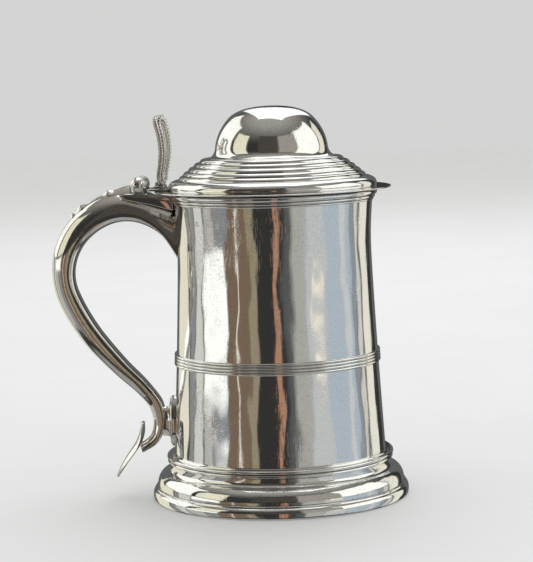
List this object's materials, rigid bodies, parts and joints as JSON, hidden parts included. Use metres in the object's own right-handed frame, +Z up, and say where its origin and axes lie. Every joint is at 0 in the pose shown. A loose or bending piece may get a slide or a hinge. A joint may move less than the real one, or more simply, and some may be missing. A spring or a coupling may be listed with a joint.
{
  "type": "lidded tankard",
  "caption": "Tapered silver tankard with a moulded foot, reeded girdle, stepped domed lid on a hinge, openwork thumbpiece and hollow scroll handle ending in a shield.",
  "frame": {"origin": "centre of the foot's resting plane, on the drum's axis", "axes": "+Z up along the drum's axis, -X towards the handle, the hinge pin runs along Y"},
  "size_m": [0.1753, 0.1278, 0.1936],
  "materials": {
    "polished_silver": "polished, with fine hairline scratches",
    "reeded_silver": "polished, darker in the grooves between reeds and beads",
    "handle_silver": "polished and softly worn",
    "inner_silver": "satin, lightly tarnished",
    "pin_steel": "plain drawn wire"
  },
  "bodies": {
    "tankard": {"drum": "polished_silver", "drum_floor": "inner_silver", "lip_moulding": "reeded_silver", "girdle": "reeded_silver", "foot_wire": "reeded_silver", "foot_shell": "polished_silver", "foot_rim": "polished_silver", "handle_back": "handle_silver", "handle_strap": "handle_silver", "handle_drop": "reeded_silver", "handle_tail": "handle_silver", "terminal_shield": "handle_silver", "boss_plate": "polished_silver", "boss_stem": "polished_silver", "hinge_standard": "polished_silver", "knuckle_left": "polished_silver", "knuckle_centre": "polished_silver", "knuckle_right": "polished_silver", "hinge_pin": "pin_steel", "pin_cap_left": "polished_silver", "pin_cap_right": "polished_silver"},
    "lid": {"lid_dome": "polished_silver", "lid_steps": "reeded_silver", "lid_flange": "polished_silver", "lid_bezel": "inner_silver", "lid_leaf": "polished_silver", "lid_knuckle_left": "polished_silver", "lid_knuckle_right": "polished_silver", "thumb_foot": "reeded_silver", "thumb_frame": "reeded_silver", "thumb_beads": "reeded_silver"}
  },
  "joints": [
    {"name": "lid_hinge", "type": "hinge", "parent": "tankard", "child": "lid", "pos_m": [-0.0658, 0, 0.1565], "axis": [0, -1, 0], "range_deg": [0, 105]}
  ]
}
